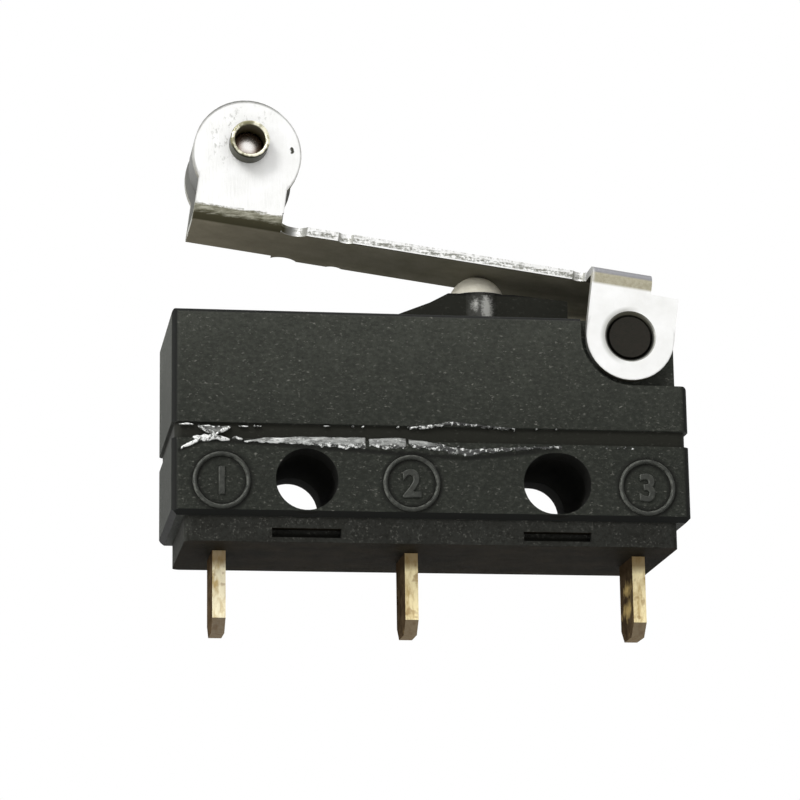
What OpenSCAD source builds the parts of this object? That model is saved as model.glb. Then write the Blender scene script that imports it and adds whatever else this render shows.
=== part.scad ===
// Subminiature snap-action switch with a hinged roller lever.
// X runs along the housing, Y through it (front is -Y), +Z is towards the plunger.
// The origin is the centre of the round mounting hole, halfway through the housing.

/* [Housing] */
// Length of the housing along X
case_length = 19.7; // [19.2:0.1:21]
// Thickness of the housing along Y
case_depth = 6.4; // [6.2:0.1:7.4]
// Top of the housing above the mounting holes
case_top = 6.5; // [6.3:0.1:7.2]
// Bottom edge of the cover below the mounting holes
case_bottom = 1.4; // [1.35:0.05:1.6]
// Thickness of the roof over the mechanism
roof = 0.9; // [0.8:0.05:1]
// Thickness of the end walls
end_wall = 1; // [0.8:0.05:1.1]
// Thickness of the front and back walls
side_wall = 1; // [0.9:0.05:1.1]
// Radius of the housing's upright edges
edge_radius = 0.3; // [0.15:0.05:0.5]
// Radius of the edges round the roof
top_radius = 0.2; // [0.1:0.05:0.3]
// Chamfer round the cover's bottom edge
rim_chamfer = 0.2; // [0.1:0.05:0.25]
// Height of the lower edge of the seam above the mounting holes
seam_z = 1.5; // [1.35:0.05:1.8]
// Height of the seam, a shallow channel right round the cover
seam_height = 0.6; // [0.3:0.05:0.8]
// Depth of the seam
seam_depth = 0.12; // [0.05:0.01:0.2]

/* [Mounting holes] */
// Diameter of the round hole, and the height of the slotted one
hole_diameter = 2.35; // [2:0.05:2.4]
// Distance between the two holes
hole_spacing = 9.5; // [9.3:0.1:9.7]
// Distance of the round hole from the housing's left end
hole_inset = 5.05; // [5:0.05:5.2]
// How much longer than high the slotted hole is
slot_extra = 0.25; // [0.1:0.05:0.4]

/* [Base] */
// Height of the base flange under the cover
base_height = 0.95; // [0.85:0.05:1.3]
// How far the flange stays inside the cover's outline at the ends
base_end_inset = 0.5; // [0.3:0.05:0.6]
// How far the flange stays inside the cover's outline at front and back
base_side_inset = 0.25; // [0.1:0.05:0.35]
// Gap between the base block inside the cover and the contact strip above it
strip_gap = 0.18; // [0.1:0.01:0.25]
// Width of the latch slots under the mounting holes
latch_width = 2.6; // [2:0.1:3]
// Height of the latch slots
latch_height = 0.35; // [0.2:0.05:0.45]
// Depth of the latch slots
latch_depth = 0.4; // [0.2:0.05:0.6]
// Gap between the base block and the cover's walls
block_gap = 0.05; // [0.02:0.01:0.1]

/* [Terminals] */
// Distance of the normally closed terminal from the housing's left end
nc_inset = 1.95; // [1.85:0.05:2]
// Distance of the normally open terminal from the round hole
no_x = 4.2; // [4:0.05:4.4]
// Distance of the common terminal from the housing's right end
com_inset = 1.65; // [1.6:0.05:1.75]
// Thickness of the terminal strip
terminal_thickness = 0.5; // [0.4:0.05:0.55]
// Width of the terminal blades
terminal_width = 2.2; // [1.8:0.1:2.4]
// Length of the terminal blades below the base
terminal_length = 3.05; // [2.6:0.05:4]
// Length of the chamfers at the blade tips
tip_chamfer = 0.5; // [0.2:0.05:0.6]
// Thickness of the strip where it runs inside the housing
inner_strip = 0.35; // [0.3:0.05:0.4]

/* [Contacts] */
// Diameter of the contact rivets
contact_diameter = 1.3; // [1:0.1:1.5]
// Height of each fixed contact
contact_height = 0.42; // [0.35:0.01:0.45]
// Height of the moving contact, both faces together
moving_height = 0.9; // [0.8:0.02:0.94]
// Travel of the moving contact between the two fixed ones
contact_gap = 0.5; // [0.45:0.01:0.52]
// Gap that closed contacts keep
touch_gap = 0.02; // [0.01:0.01:0.04]
// Distance of the contacts from the normally closed terminal
contact_reach = 1.5; // [1.4:0.05:1.7]
// Depth of the contact blade under the roof
blade_depth = 2.3; // [2.25:0.01:2.33]
// Thickness of the spring blades
blade_thickness = 0.15; // [0.1:0.01:0.2]
// Width of the contact blade
blade_width = 3.2; // [3:0.1:3.4]
// Width of each of the contact blade's rails
rail_width = 0.6; // [0.4:0.05:0.65]
// Distance of the blades' common pivot from the common terminal
blade_pivot_inset = 1.1; // [1:0.05:1.2]
// Width of the drive leaf between the rails
leaf_width = 1.5; // [1.2:0.1:1.6]
// Gap between the drive leaf's tip and the snap spring
leaf_gap = 0.25; // [0.15:0.01:0.3]
// Mean radius of the C-shaped snap spring
spring_radius = 1; // [0.9:0.05:1.1]
// Distance of the spring's middle from the contacts
spring_reach = 3.65; // [3.5:0.05:3.8]

/* [Plunger] */
// Distance of the plunger from the round hole
plunger_x = 7.1; // [6.8:0.05:7.3]
// Diameter of the plunger
plunger_diameter = 2.1; // [1.8:0.05:2.3]
// Radial clearance between the plunger and its collar
plunger_clearance = 0.05; // [0.03:0.01:0.1]
// Height of the plunger's dome
dome_height = 0.75; // [0.5:0.05:0.9]
// Diameter of the flange that keeps the plunger in
flange_diameter = 2.9; // [2.7:0.1:3.2]
// Height of that flange
flange_height = 0.5; // [0.4:0.05:0.6]
// Diameter of the pin that presses on the drive leaf
pin_diameter = 1.1; // [0.9:0.1:1.3]
// Gap between the plunger and what it touches
plunger_gap = 0.03; // [0.02:0.01:0.04]

/* [Collar] */
// Outer diameter of the collar round the plunger
collar_diameter = 2.6; // [2.5:0.05:3.1]
// Height of the collar above the housing
collar_height = 1.45; // [1:0.05:1.5]
// Length of the ramp that runs down from the collar towards the free end
ramp_length = 2.9; // [2:0.1:3]
// Length of the rib that runs from the collar towards the pivot
rib_length = 2.1; // [1.5:0.05:2.2]
// How far the rib's top falls over its length
rib_fall = 0.2; // [0.1:0.05:0.4]
// Width of the ramp and the rib
ramp_width = 2.3; // [1.6:0.1:2.4]

/* [Lever] */
// Distance of the lever's pivot from the housing's right end
pivot_inset = 2.15; // [2.1:0.05:2.2]
// Height of the lever's pivot above the mounting holes
pivot_z = 5.82; // [5.75:0.01:5.9]
// Angle of the lever above horizontal at rest
lever_angle = 7.85; // [7.5:0.05:8]
// Thickness of the lever's sheet
sheet = 0.35; // [0.3:0.01:0.4]
// Height of the lever's underside above its pivot, measured square to the arm
arm_rise = 2.32; // [2.3:0.01:2.5]
// Width of the arm
arm_width = 3.6; // [3.2:0.1:3.8]
// Inside radius of the sheet's bends
bend_radius = 0.2; // [0.1:0.05:0.3]
// Half the width of the pivot ears
ear_half = 1.72; // [1.6:0.02:1.8]
// How far the saddle reaches to the right of the pivot
saddle_reach = 0.62; // [0.5:0.02:0.8]
// Height of the ears' free upper corner above the pivot
ear_corner = 1.78; // [1.6:0.02:1.85]
// Diameter of the pivot bosses
boss_diameter = 1.6; // [1.5:0.05:1.7]
// How far the bosses' ends lie below the ears' outer faces
boss_sink = 0.1; // [0.05:0.01:0.15]
// Size of the chamfer round the ears' holes
hole_chamfer = 0.12; // [0.05:0.01:0.15]
// Radial clearance of the ears on their bosses
boss_clearance = 0.09; // [0.03:0.01:0.1]
// Depth of the recess for each ear
recess_depth = 0.45; // [0.42:0.01:0.5]
// Gap between each ear and the floor of its recess
ear_gap = 0.06; // [0.03:0.01:0.08]
// Gap between the ears' outline and the edge of the recess
recess_gap = 0.22; // [0.15:0.01:0.3]
// How far the housing's end is set back above the recess's step
end_setback = 0.4; // [0.2:0.05:0.5]

/* [Roller bracket] */
// Distance of the bracket's middle from the pivot, along the arm
bracket_reach = 15.43; // [15:0.01:15.8]
// Width of the bracket's necks along the arm
neck_width = 3.42; // [3.2:0.02:3.6]
// Outside width of the bracket, from ear to ear
bracket_width = 3.94; // [3.8:0.02:4.1]
// Radius of the bracket's round heads
head_radius = 2.1; // [1.9:0.02:2.2]
// Height of the heads' centre above the pivot
head_rise = 5.16; // [5:0.01:5.2]
// How far the axle lies beyond the heads' centre
axle_offset = 0.37; // [0:0.01:0.4]
// Radius of the relief cuts beside the bracket
relief_radius = 0.55; // [0.45:0.01:0.6]
// How deep those cuts reach into the arm's edges
relief_depth = 0.32; // [0.25:0.01:0.4]
// Radius of the relief cuts beside the saddle
saddle_relief = 0.3; // [0.2:0.02:0.35]
// How deep those cuts reach into the arm's edges
saddle_relief_depth = 0.12; // [0.08:0.01:0.2]
// Radius of the small locating nick in each edge of the arm
nick_radius = 0.36; // [0.25:0.01:0.4]
// How deep the nicks reach into the arm's edges
nick_depth = 0.16; // [0.1:0.01:0.2]
// Distance of the nicks from the pivot, along the arm
nick_reach = 11.2; // [10:0.1:11.5]

/* [Roller] */
// Diameter of the roller
roller_diameter = 4.1; // [3.8:0.05:4.3]
// Gap between the roller and each bracket ear
roller_gap = 0.08; // [0.05:0.01:0.12]
// Radius of the roller's rounded edges
roller_round = 0.4; // [0.2:0.05:0.5]
// Outer diameter of the tubular axle
axle_diameter = 1.4; // [1.3:0.05:1.5]
// Bore of the tubular axle
axle_bore = 1.18; // [1:0.02:1.2]
// Radial clearance of the roller on its axle
axle_clearance = 0.05; // [0.03:0.01:0.08]
// How far the axle stands out of each ear
axle_stand = 0.7; // [0.4:0.05:0.9]
// Diameter of the axle's rolled ends
axle_rim = 1.52; // [1.48:0.02:1.8]
// Height of the web that closes the tube, on each side of its middle
axle_web = 1; // [0.8:0.05:1.3]
// Height of the dome on each face of that web
axle_dome = 0.3; // [0.2:0.05:0.4]

/* [Hidden] */
$fn = 48;
eps = 0.01;

left_end = -hole_inset;
right_end = case_length - hole_inset;
half_depth = case_depth / 2;
cavity_top = case_top - roof;
nc_x = left_end + nc_inset;
com_x = right_end - com_inset;
contact_x = nc_x + contact_reach;
blade_pivot_x = com_x - blade_pivot_inset;
blade_z = cavity_top - blade_depth;
pivot_x = right_end - pivot_inset;
step_z = pivot_z - ear_half - recess_gap;
cavity_left = left_end + end_wall;
cavity_right = right_end - end_wall;
cavity_half = half_depth - side_wall - 0.2;
flange_bottom = -case_bottom - base_height;
recess_floor = half_depth - recess_depth;
ear_inner = recess_floor + ear_gap;
ear_outer = ear_inner + sheet;
collar_top = case_top + collar_height;

// The plunger's dome touches the arm's underside, and its pin the drive leaf.
lever_reach = pivot_x - plunger_x;
dome_radius = (pow(plunger_diameter / 2, 2) + pow(dome_height, 2)) / (2 * dome_height);
dome_centre = pivot_z + (arm_rise - dome_radius - plunger_gap + lever_reach * sin(lever_angle))
    / cos(lever_angle);
plunger_top = dome_centre + dome_radius;
dome_foot = plunger_top - dome_height;
pressed_centre = pivot_z + arm_rise - dome_radius - plunger_gap;
plunger_travel = dome_centre - pressed_centre;
leaf_reach = blade_pivot_x - plunger_x;
leaf_angle = atan(plunger_travel / leaf_reach);
pin_bottom = blade_z + plunger_travel + blade_thickness + plunger_gap;

moving_top = blade_z + moving_height / 2;
moving_bottom = blade_z - moving_height / 2;
nc_face = moving_top + touch_gap;
no_face = moving_bottom - contact_gap;
no_strip_top = no_face - contact_height;
nc_strip_bottom = nc_face + contact_height;
block_top = no_strip_top - inner_strip - strip_gap;
spring_x = contact_x + spring_reach;
leaf_length = blade_pivot_x - spring_x - spring_radius - leaf_gap;

// A flat shape drawn in X and Z, given a thickness along Y and centred on y = 0
module upright(depth) {
    rotate([90, 0, 0])
        linear_extrude(height = depth, center = true)
            children();
}

// A bar between two corners, centred on y = 0
module bar(x0, x1, width, z0, z1) {
    translate([x0, -width / 2, z0])
        cube([x1 - x0, width, z1 - z0]);
}

// A cylinder along Y, centred on y = 0
module cross_cylinder(x, z, diameter, length) {
    translate([x, 0, z])
        rotate([90, 0, 0])
            cylinder(h = length, d = diameter, center = true);
}

// A block with rounded upright edges, between two ends along X
module rounded_block(x0, x1, width, z0, z1, radius) {
    translate([0, 0, z0])
        linear_extrude(height = z1 - z0)
            rounded_rectangle(x0, x1, width, radius);
}

module rounded_rectangle(x0, x1, width, radius) {
    translate([x0 + radius, -width / 2])
        square([x1 - x0 - 2 * radius, width]);
    translate([x0, -width / 2 + radius])
        square([x1 - x0, width - 2 * radius]);
    for (x = [x0 + radius, x1 - radius], y = [-1, 1])
        translate([x, y * (width / 2 - radius)])
            circle(r = radius);
}

// Both mounting holes, through everything
module mounting_holes() {
    length = case_depth + 2;
    cross_cylinder(0, 0, hole_diameter, length);
    for (side = [-1, 1])
        cross_cylinder(hole_spacing + side * slot_extra / 2, 0, hole_diameter, length);
    bar(hole_spacing - slot_extra / 2, hole_spacing + slot_extra / 2, length,
        -hole_diameter / 2, hole_diameter / 2);
}

// The outline that an ear sweeps on the housing: round below the pivot, open to the top and the end
module recess_outline() {
    reach = ear_half + recess_gap;
    translate([pivot_x, pivot_z]) {
        circle(r = reach);
        translate([-reach, 0])
            square([reach + case_length, case_top]);
        translate([0, -reach])
            square([case_length, reach + case_top]);
    }
}

module ramp_outline() {
    foot = collar_diameter / 2 + ramp_length;
    shoulder = 0.97 * collar_height;
    polygon([[-foot, -eps], [-foot + 0.3 * ramp_length, 0.34 * collar_height],
             [-foot + 0.75 * ramp_length, 0.7 * collar_height],
             [-collar_diameter / 2, shoulder], [0, shoulder], [0, -eps]]);
}

module rib_outline() {
    end = collar_diameter / 2 + rib_length;
    shoulder = 0.97 * collar_height;
    polygon([[0, -eps], [end, -eps], [end, shoulder - rib_fall],
             [collar_diameter / 2, shoulder], [0, shoulder]]);
}

// ---- The cover, with the collar, the ear recesses and the pivot bosses ----

module case() {
    color([0.21, 0.22, 0.2])
        difference() {
            union() {
                case_shell();
                for (side = [-1, 1])
                    pivot_boss(side);
            }
            mounting_holes();
            translate([plunger_x, 0, cavity_top - 1])
                cylinder(h = case_top, d = plunger_diameter + 2 * plunger_clearance);
        }
}

module case_shell() {
    difference() {
        union() {
            intersection() {
                rounded_block(left_end, right_end, case_depth, -case_bottom, case_top, edge_radius);
                upright(case_depth)
                    side_outline();
                rotate([0, 0, 90])
                    upright(case_length * 2)
                        end_outline();
            }
            collar();
        }
        bar(cavity_left, cavity_right, 2 * cavity_half, -case_bottom - 1, cavity_top);
        seam();
        for (side = [-1, 1])
            translate([0, side * (recess_floor + case_depth / 2), 0])
                upright(case_depth)
                    recess_outline();
    }
}

// The cover seen from the front: its upper right part is set back above a step
module side_outline() {
    rounded_top(left_end, right_end, -case_bottom, step_z);
    rounded_top(left_end, right_end - end_setback, -case_bottom, case_top);
}

// The cover seen from its end
module end_outline() {
    rounded_top(-half_depth, half_depth, -case_bottom, case_top);
}

// A rectangle with its two lower corners cut and its two upper corners rounded
module rounded_top(x0, x1, z0, z1) {
    polygon([[x0 + rim_chamfer, z0], [x1 - rim_chamfer, z0], [x1, z0 + rim_chamfer],
             [x1, z1 - top_radius], [x0, z1 - top_radius], [x0, z0 + rim_chamfer]]);
    translate([x0 + top_radius, z0 + rim_chamfer])
        square([x1 - x0 - 2 * top_radius, z1 - z0 - rim_chamfer]);
    for (x = [x0 + top_radius, x1 - top_radius])
        translate([x, z1 - top_radius])
            circle(r = top_radius);
}

module seam() {
    difference() {
        bar(left_end - 1, right_end + 1, case_depth + 2, seam_z, seam_z + seam_height);
        rounded_block(left_end + seam_depth, right_end - seam_depth, case_depth - 2 * seam_depth,
                      seam_z - 1, seam_z + seam_height + 1, edge_radius);
    }
}

module collar() {
    translate([plunger_x, 0, case_top]) {
        translate([0, 0, -eps])
            cylinder(h = collar_height + eps, d = collar_diameter);
        upright(ramp_width) {
            ramp_outline();
            rib_outline();
        }
    }
}

module pivot_boss(side) {
    height = ear_outer - recess_floor - boss_sink;
    translate([pivot_x, side * (recess_floor + height / 2 - eps), pivot_z])
        rotate([90, 0, 0])
            cylinder(h = height + 2 * eps, d = boss_diameter, center = true);
}

// ---- The base: a flange under the cover and a block inside it ----

module base() {
    color([0.2, 0.17, 0.13])
        difference() {
            union() {
                rounded_block(left_end + base_end_inset, right_end - base_end_inset,
                              case_depth - 2 * base_side_inset, flange_bottom, -case_bottom,
                              edge_radius);
                bar(cavity_left + block_gap, cavity_right - block_gap,
                    2 * (cavity_half - block_gap), -case_bottom - eps, block_top);
            }
            mounting_holes();
            for (x = [nc_x, no_x, com_x])
                terminal_slot(x);
            for (x = [0, hole_spacing], side = [-1, 1])
                latch_slot(x, side);
        }
}

module terminal_slot(x) {
    bar(x - terminal_thickness / 2, x + terminal_thickness / 2, terminal_width,
        flange_bottom - 1, block_top + 1);
}

module latch_slot(x, side) {
    outer = half_depth - base_side_inset;
    translate([x - latch_width / 2, side * outer - latch_depth, flange_bottom + latch_height / 2])
        cube([latch_width, 2 * latch_depth, latch_height]);
}

// ---- Terminals: blades below the base, and the strips that carry the contacts ----

module blade_outline() {
    half = terminal_width / 2;
    tip = flange_bottom - terminal_length;
    polygon([[-half, block_top], [-half, tip + tip_chamfer], [-half + tip_chamfer, tip],
             [half - tip_chamfer, tip], [half, tip + tip_chamfer], [half, block_top]]);
}

module terminal_blade(x) {
    translate([x, 0, 0])
        rotate([90, 0, 90])
            linear_extrude(height = terminal_thickness, center = true)
                blade_outline();
}

module com_terminal() {
    foot_top = blade_z - blade_thickness / 2 - plunger_gap;
    color([0.78, 0.64, 0.32]) {
        terminal_blade(com_x);
        bar(com_x - terminal_thickness / 2, com_x + terminal_thickness / 2, terminal_width,
            block_top - eps, foot_top);
        bar(blade_pivot_x, com_x, terminal_width, foot_top - inner_strip, foot_top);
    }
}

module no_terminal() {
    color([0.78, 0.64, 0.32]) {
        terminal_blade(no_x);
        bar(no_x - terminal_thickness / 2, no_x + terminal_thickness / 2, terminal_width,
            block_top - eps, no_strip_top);
        bar(contact_x - contact_diameter / 2, no_x, terminal_width,
            no_strip_top - inner_strip, no_strip_top);
    }
}

module nc_terminal() {
    top = nc_strip_bottom + inner_strip;
    color([0.78, 0.64, 0.32]) {
        terminal_blade(nc_x);
        bar(nc_x - terminal_thickness / 2, nc_x + terminal_thickness / 2, terminal_width,
            block_top - eps, top);
        bar(nc_x, contact_x + contact_diameter / 2 + 0.1, terminal_width, nc_strip_bottom, top);
    }
}

// ---- Contacts ----

module no_contact() {
    color([0.8, 0.8, 0.78])
        translate([contact_x, 0, no_strip_top])
            cylinder(h = contact_height, d = contact_diameter);
}

module nc_contact() {
    color([0.8, 0.8, 0.78])
        translate([contact_x, 0, nc_face])
            cylinder(h = contact_height, d = contact_diameter);
}

module moving_contact() {
    color([0.8, 0.8, 0.78])
        translate([contact_x, 0, moving_bottom])
            cylinder(h = moving_height, d = contact_diameter);
}

// ---- The snap mechanism ----

module contact_blade() {
    left = contact_x - 0.9;
    window_left = spring_x - 0.5 * spring_radius;
    window_right = blade_pivot_x + 0.15;
    half = blade_thickness / 2;
    color([0.74, 0.52, 0.3])
        difference() {
            bar(left, blade_pivot_x + 0.7, blade_width, blade_z - half, blade_z + half);
            bar(window_left, window_right, blade_width - 2 * rail_width, blade_z - 1, blade_z + 1);
            translate([contact_x, 0, blade_z - 1])
                cylinder(h = 2, d = contact_diameter);
        }
}

module snap_spring() {
    rise = 0.85 * spring_radius;
    color([0.74, 0.52, 0.3])
        translate([spring_x, 0, blade_z + blade_thickness / 2 + rise])
            rotate([90, 0, 0])
                rotate_extrude(angle = 230)
                    translate([spring_radius - blade_thickness / 2, -leaf_width / 2])
                        square([blade_thickness, leaf_width]);
}

module drive_leaf() {
    color([0.74, 0.52, 0.3])
        translate([blade_pivot_x, 0, blade_z])
            rotate([0, leaf_angle, 0])
                bar(-leaf_length, 0, leaf_width, -blade_thickness / 2, blade_thickness / 2);
}

// ---- Plunger ----

module plunger() {
    flange_top = cavity_top - plunger_gap;
    color([0.68, 0.63, 0.56])
        translate([plunger_x, 0, 0]) {
            intersection() {
                translate([0, 0, dome_centre])
                    sphere(r = dome_radius);
                translate([0, 0, dome_foot])
                    cylinder(h = 2 * dome_height, d = plunger_diameter);
            }
            translate([0, 0, flange_top - eps])
                cylinder(h = dome_foot - flange_top + 2 * eps, d = plunger_diameter);
            translate([0, 0, flange_top - flange_height])
                cylinder(h = flange_height, d = flange_diameter);
            translate([0, 0, pin_bottom])
                cylinder(h = flange_top - pin_bottom - eps, d = pin_diameter);
        }
}

// ---- Lever: one bent sheet with the pivot ears, the arm and the roller bracket ----
// It is drawn with its arm level and its pivot at the origin, then swung up to rest.

module at_lever() {
    translate([pivot_x, 0, pivot_z])
        rotate([0, lever_angle, 0])
            children();
}

module lever() {
    color([0.83, 0.83, 0.8])
        at_lever()
            lever_sheet();
}

module lever_sheet() {
    saddle_left = -ear_half;
    neck_left = -bracket_reach - neck_width / 2;
    neck_right = -bracket_reach + neck_width / 2;
    saddle_side = arm_rise + sheet / 2 - 0.9 * ear_corner;
    relief_half = sqrt(pow(relief_radius, 2) - pow(relief_radius - relief_depth, 2));
    difference() {
        union() {
            bar(neck_right - eps, saddle_left + eps, arm_width, arm_rise, arm_rise + sheet);
            bent_channel(saddle_left, saddle_reach, 2 * ear_outer, arm_rise, -1, saddle_side);
            bent_channel(neck_left, neck_right, bracket_width, arm_rise, 1, head_rise - arm_rise);
            for (side = [-1, 1]) {
                pivot_ear(side);
                roller_ear(side);
            }
        }
        for (side = [-1, 1]) {
            edge_cut(neck_right + relief_half, side, relief_radius, relief_depth);
            edge_cut(saddle_left - saddle_relief, side, saddle_relief, saddle_relief_depth);
            edge_cut(-nick_reach, side, nick_radius, nick_depth);
            translate([0, side * ear_outer, 0])
                rotate([side * 90, 0, 0])
                    hole_flare();
        }
        cross_cylinder(-bracket_reach, head_rise + axle_offset, axle_diameter, case_depth + 2);
        cross_cylinder(0, 0, boss_diameter + 2 * boss_clearance, case_depth + 2);
    }
}

// A channel of bent sheet along X: its web lies at height z, its sides turn up (1) or down (-1)
module bent_channel(x0, x1, width, z, up, side_height) {
    outer = bend_radius + sheet;
    web = z + sheet / 2;
    translate([x0, 0, web])
        rotate([90, 0, 90])
            linear_extrude(height = x1 - x0) {
                translate([-width / 2 + outer, -sheet / 2])
                    square([width - 2 * outer, sheet]);
                for (side = [-1, 1]) {
                    corner_y = side * (width / 2 - outer);
                    corner_z = up * (outer - sheet / 2);
                    intersection() {
                        translate([corner_y, corner_z])
                            difference() {
                                circle(r = outer);
                                circle(r = bend_radius);
                            }
                        translate([min(corner_y, corner_y + side * outer),
                                   min(corner_z, corner_z - up * outer)])
                            square(outer);
                    }
                    translate([side * (width / 2 - sheet / 2) - sheet / 2,
                               min(corner_z, corner_z + up * (side_height - outer))])
                        square([sheet, side_height - outer]);
                }
            }
}

module pivot_ear(side) {
    translate([0, side * (ear_inner + sheet / 2), 0])
        upright(sheet) {
            circle(r = ear_half);
            translate([-ear_half, 0])
                square([2 * ear_half, ear_corner]);
        }
}

module roller_ear(side) {
    translate([-bracket_reach, side * (bracket_width / 2 - sheet / 2), 0])
        upright(sheet)
            translate([0, head_rise])
                circle(r = head_radius);
}

// A round cut in one edge of the arm, down to a given depth
module edge_cut(x, side, radius, depth) {
    translate([x, side * (arm_width / 2 + radius - depth), arm_rise - sheet])
        cylinder(h = 3 * sheet, r = radius);
}

// The chamfer of an ear's hole, as a cone that narrows into the ear
module hole_flare() {
    hole = boss_diameter / 2 + boss_clearance;
    translate([0, 0, -eps])
        cylinder(h = hole_chamfer + eps, r1 = hole + hole_chamfer, r2 = hole);
}

// ---- Roller and its tubular axle ----

module at_axle() {
    at_lever()
        translate([-bracket_reach, 0, head_rise + axle_offset])
            rotate([90, 0, 0])
                children();
}

module axle() {
    color([0.75, 0.73, 0.66])
        at_axle() {
            rotate_extrude()
                axle_profile();
            mirror([0, 0, 1])
                rotate_extrude()
                    axle_profile();
        }
}

// Half of the axle's section: web and dome, tube wall, and the rim rolled over at the end
module axle_profile() {
    bore = axle_bore / 2;
    lip = (axle_rim - axle_bore) / 4;
    grip = bracket_width / 2;
    dome = (pow(bore, 2) + pow(axle_dome, 2)) / (2 * axle_dome);
    translate([0, -eps])
        square([axle_diameter / 2, axle_web + eps]);
    intersection() {
        translate([0, axle_web + axle_dome - dome])
            circle(r = dome);
        square([bore + eps, axle_web + axle_dome]);
    }
    translate([bore, 0])
        square([axle_diameter / 2 - bore, grip + eps]);
    translate([bore, grip])
        square([2 * lip, axle_stand - lip]);
    translate([bore + lip, grip + axle_stand - lip])
        circle(r = lip);
}

module roller() {
    width = bracket_width - 2 * sheet - 2 * roller_gap;
    radius = roller_diameter / 2;
    color([0.8, 0.79, 0.76])
        at_axle()
            difference() {
                union() {
                    cylinder(h = width - 2 * roller_round, r = radius, center = true);
                    cylinder(h = width, r = radius - roller_round, center = true);
                    for (side = [-1, 1])
                        translate([0, 0, side * (width / 2 - roller_round)])
                            rotate_extrude($fn = 64)
                                translate([radius - roller_round, 0])
                                    circle(r = roller_round);
                }
                cylinder(h = case_depth, d = axle_diameter + 2 * axle_clearance, center = true);
            }
}

case();
base();
com_terminal();
no_terminal();
nc_terminal();
no_contact();
nc_contact();
plunger();
lever();
axle();
roller();
contact_blade();
moving_contact();
snap_spring();
drive_leaf();
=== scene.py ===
import math

import bmesh
import bpy
import numpy as np
from mathutils import Matrix, Vector


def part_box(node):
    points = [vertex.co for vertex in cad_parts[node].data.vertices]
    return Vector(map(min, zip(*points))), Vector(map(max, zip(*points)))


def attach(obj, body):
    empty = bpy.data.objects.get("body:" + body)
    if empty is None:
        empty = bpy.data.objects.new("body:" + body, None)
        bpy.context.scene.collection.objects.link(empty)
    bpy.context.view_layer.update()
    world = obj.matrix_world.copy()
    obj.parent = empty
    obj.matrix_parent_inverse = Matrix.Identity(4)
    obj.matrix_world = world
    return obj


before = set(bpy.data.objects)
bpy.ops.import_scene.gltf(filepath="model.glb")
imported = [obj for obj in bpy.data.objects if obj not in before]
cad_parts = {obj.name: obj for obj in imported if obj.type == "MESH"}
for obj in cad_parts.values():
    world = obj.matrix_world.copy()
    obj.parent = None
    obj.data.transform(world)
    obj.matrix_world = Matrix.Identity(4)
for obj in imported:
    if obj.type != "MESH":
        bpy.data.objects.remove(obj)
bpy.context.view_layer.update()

# ---------------------------------------------------------------------------
# Studio: a plain white floor well below the switch, white surroundings and
# four soft lamps. The switch hangs in the air, as it would when held to look
# at, so that its underside and terminals are in view.
# ---------------------------------------------------------------------------
MM = 0.001
NORMAL, PLACE = 1, 3  # outputs of the Texture Coordinate node
WELD_DISTANCE = 1e-8  # metres


class Value:
    """A shader socket that takes part in Python sums and adds the Math nodes they need."""

    def __init__(self, tree, socket):
        self.tree = tree
        self.socket = socket

    def _math(self, operation, *values):
        node = self.tree.nodes.new("ShaderNodeMath")
        node.operation = operation
        for slot, value in zip(node.inputs, values):
            if isinstance(value, Value):
                self.tree.links.new(value.socket, slot)
            else:
                slot.default_value = value
        return Value(self.tree, node.outputs[0])

    def __add__(self, other):
        return self._math("ADD", self, other)

    def __radd__(self, other):
        return self._math("ADD", other, self)

    def __sub__(self, other):
        return self._math("SUBTRACT", self, other)

    def __rsub__(self, other):
        return self._math("SUBTRACT", other, self)

    def __mul__(self, other):
        return self._math("MULTIPLY", self, other)

    def __rmul__(self, other):
        return self._math("MULTIPLY", other, self)

    def __truediv__(self, other):
        return self._math("DIVIDE", self, other)

    def __pow__(self, other):
        return self._math("POWER", self, other)

    def __abs__(self):
        return self._math("ABSOLUTE", self)

    def least(self, other):
        """The smaller of the two."""
        return self._math("MINIMUM", self, other)

    def most(self, other):
        """The larger of the two."""
        return self._math("MAXIMUM", self, other)

    def between(self, low, high):
        """0 at low, 1 at high, straight between them and held outside."""
        return ((self - low) / (high - low)).most(0).least(1)

    def near(self, place, width):
        """1 at place, falling to 0 at width on either side."""
        return (1 - abs(self - place) / width).most(0)


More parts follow.
